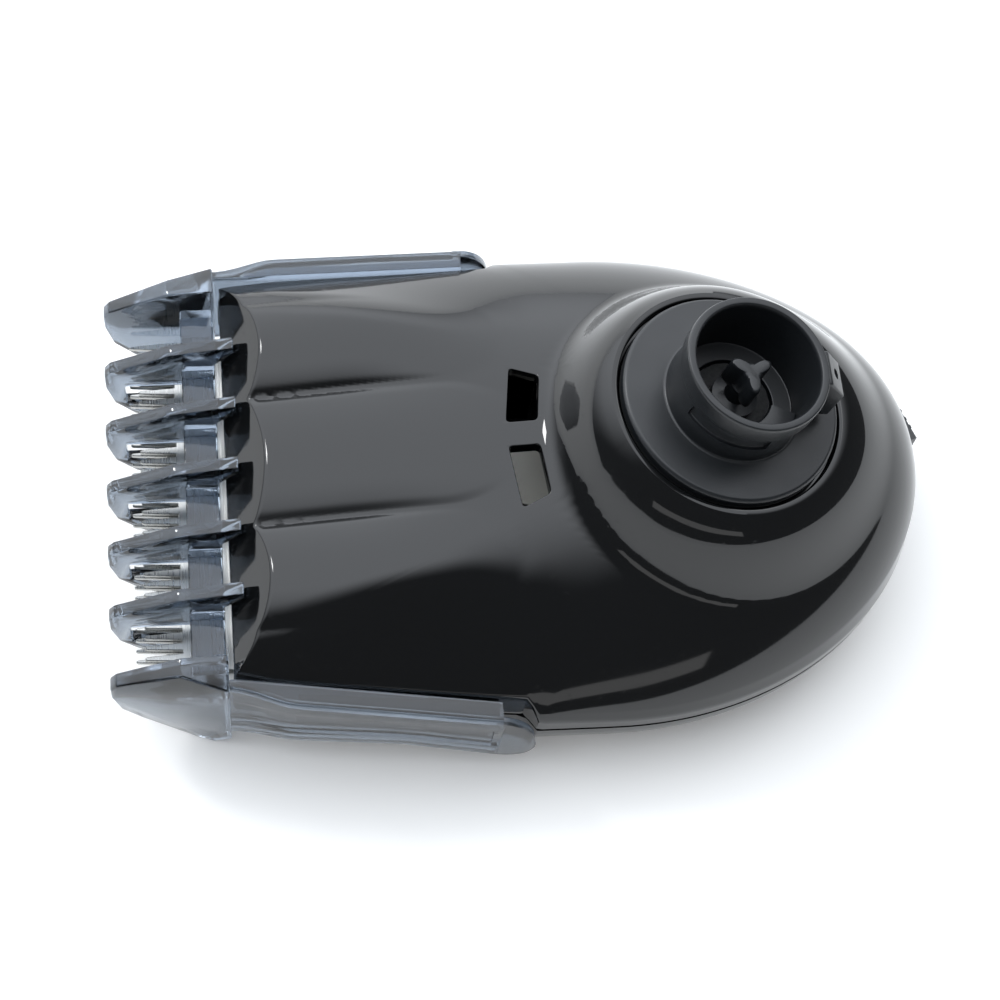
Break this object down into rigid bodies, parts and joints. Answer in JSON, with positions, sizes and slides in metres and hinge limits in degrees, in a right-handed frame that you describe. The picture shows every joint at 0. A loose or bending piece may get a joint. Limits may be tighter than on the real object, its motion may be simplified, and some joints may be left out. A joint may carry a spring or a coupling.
{
  "type": "beard styler attachment with guard comb",
  "caption": "Clip-on beard styler head: domed housing with a round drive spigot, reciprocating toothed blades and a sliding guard comb set by a rear lever.",
  "frame": {"origin": "middle of the bounding box in plan, on the flat skin-side face the attachment rests on", "axes": "+Z toward the drive spigot side, -X toward the comb tips, Y across the blades"},
  "size_m": [0.0702, 0.0442, 0.0302],
  "materials": {
    "gloss_black": "piano black moulded ABS, polished",
    "satin_black": "satin black moulded ABS",
    "smoke_clear": "clear smoke blue-grey polycarbonate",
    "blade_steel": "ground stainless steel",
    "bright_steel": "bright steel",
    "white_acetal": "natural acetal",
    "brass": "plain",
    "seal_rubber": "matt"
  },
  "bodies": {
    "housing": {"main_housing": "gloss_black", "face_cover": "gloss_black", "coupling_spigot": "satin_black", "spindle_bush": "brass", "spindle_seal": "seal_rubber", "inner_frame": "satin_black", "lever_pivot_pin": "bright_steel", "pivot_clip": "bright_steel", "fixed_blade": "blade_steel", "cutter_holder": "satin_black", "blade_spring": "bright_steel", "detent_spring": "bright_steel", "cover_screw_front_far": "bright_steel", "cover_screw_front_near": "bright_steel", "cover_screw_rear_far": "bright_steel", "cover_screw_rear_near": "bright_steel", "blade_screw_far": "bright_steel", "blade_screw_near": "bright_steel", "frame_screw_far": "bright_steel", "frame_screw_near": "bright_steel", "selector_screw": "bright_steel", "spigot_screw_1": "bright_steel", "spigot_screw_2": "bright_steel", "spigot_screw_3": "bright_steel"},
    "spindle": {"drive_spindle": "satin_black", "spindle_circlip": "bright_steel", "eccentric_cam": "white_acetal"},
    "lever": {"drive_lever": "white_acetal"},
    "blade": {"moving_blade": "blade_steel", "blade_driver": "white_acetal"},
    "selector": {"length_selector": "satin_black"},
    "carriage": {"comb_carriage": "satin_black"},
    "comb": {"guard_comb": "smoke_clear"}
  },
  "joints": [
    {"name": "spindle_spin", "type": "hinge", "parent": "housing", "child": "spindle", "pos_m": [0.01467, 0, 0.02342], "axis": [0.1764, 0, 0.9843], "continuous": true},
    {"name": "lever_swing", "type": "hinge", "parent": "housing", "child": "lever", "pos_m": [-0.005, 0, 0.0104], "axis": [0, 0, 1], "range_deg": [-3.3, 3.3]},
    {"name": "blade_slide", "type": "slide", "parent": "housing", "child": "blade", "axis": [0, 1, 0], "range_m": [-0.00092, 0.00092]},
    {"name": "selector_turn", "type": "hinge", "parent": "housing", "child": "selector", "pos_m": [0.01642, 0, 0.0039], "axis": [0, 0, 1], "range_deg": [-40, 0]},
    {"name": "carriage_slide", "type": "slide", "parent": "housing", "child": "carriage", "axis": [-1, 0, 0], "range_m": [0, 0.00501]},
    {"name": "comb_release", "type": "slide", "parent": "carriage", "child": "comb", "axis": [-1, 0, 0], "range_m": [0, 0.03]}
  ],
  "couplings": [
    {"joint": "blade_slide", "follows": "lever_swing", "m_per_rad": -0.0158},
    {"joint": "carriage_slide", "follows": "selector_turn", "m_per_rad": -0.007162}
  ]
}
